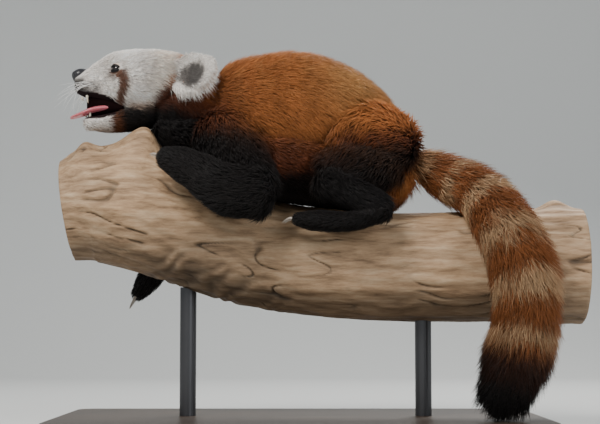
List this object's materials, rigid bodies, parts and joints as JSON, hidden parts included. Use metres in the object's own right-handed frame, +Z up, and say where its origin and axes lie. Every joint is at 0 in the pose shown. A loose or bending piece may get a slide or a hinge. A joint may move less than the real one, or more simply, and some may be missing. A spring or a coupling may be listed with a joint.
{
  "type": "red panda",
  "caption": "Life-size still model of a red panda draped over a cut length of branch, mouth open, tail hanging, on a plain display stand.",
  "frame": {"origin": "middle of the stand base's underside, on the floor", "axes": "+Z up; the animal lies along X and faces -X; its left side faces -Y"},
  "size_m": [0.7027, 0.37, 0.5181],
  "materials": {
    "rust_coat": "dense rusty fur",
    "white_coat": "short white fur",
    "black_coat": "dense black fur",
    "tail_coat": "long rusty fur with paler rings",
    "wet_skin": "moist pebbled black skin",
    "eye": "glossy dark brown",
    "tongue": "moist pink",
    "branch_wood": "bare weathered bark-free wood",
    "stand_wood": "dark satin",
    "stand_steel": "satin dark grey"
  },
  "bodies": {
    "root": {"stand_base": "stand_wood", "stand_rod_left_end": "stand_steel", "stand_rod_right_end": "stand_steel", "perch": "branch_wood", "torso": "rust_coat", "neck": "rust_coat", "head": "white_coat", "nose": "wet_skin", "eye_left": "eye", "eye_right": "eye", "lower_jaw": "white_coat", "tongue": "tongue", "ear_left": "white_coat", "ear_right": "white_coat", "foreleg_left_upper": "black_coat", "foreleg_left_lower": "black_coat", "foreleg_left_paw": "black_coat", "hindleg_left_thigh": "rust_coat", "hindleg_left_shank": "black_coat", "hindleg_left_foot": "black_coat", "foreleg_right_upper": "black_coat", "foreleg_right_lower": "black_coat", "foreleg_right_paw": "black_coat", "hindleg_right_thigh": "rust_coat", "hindleg_right_shank": "black_coat", "hindleg_right_foot": "black_coat", "tail_base": "tail_coat", "tail_middle": "tail_coat", "tail_lower": "tail_coat", "tail_tip": "tail_coat"}
  },
  "joints": []
}
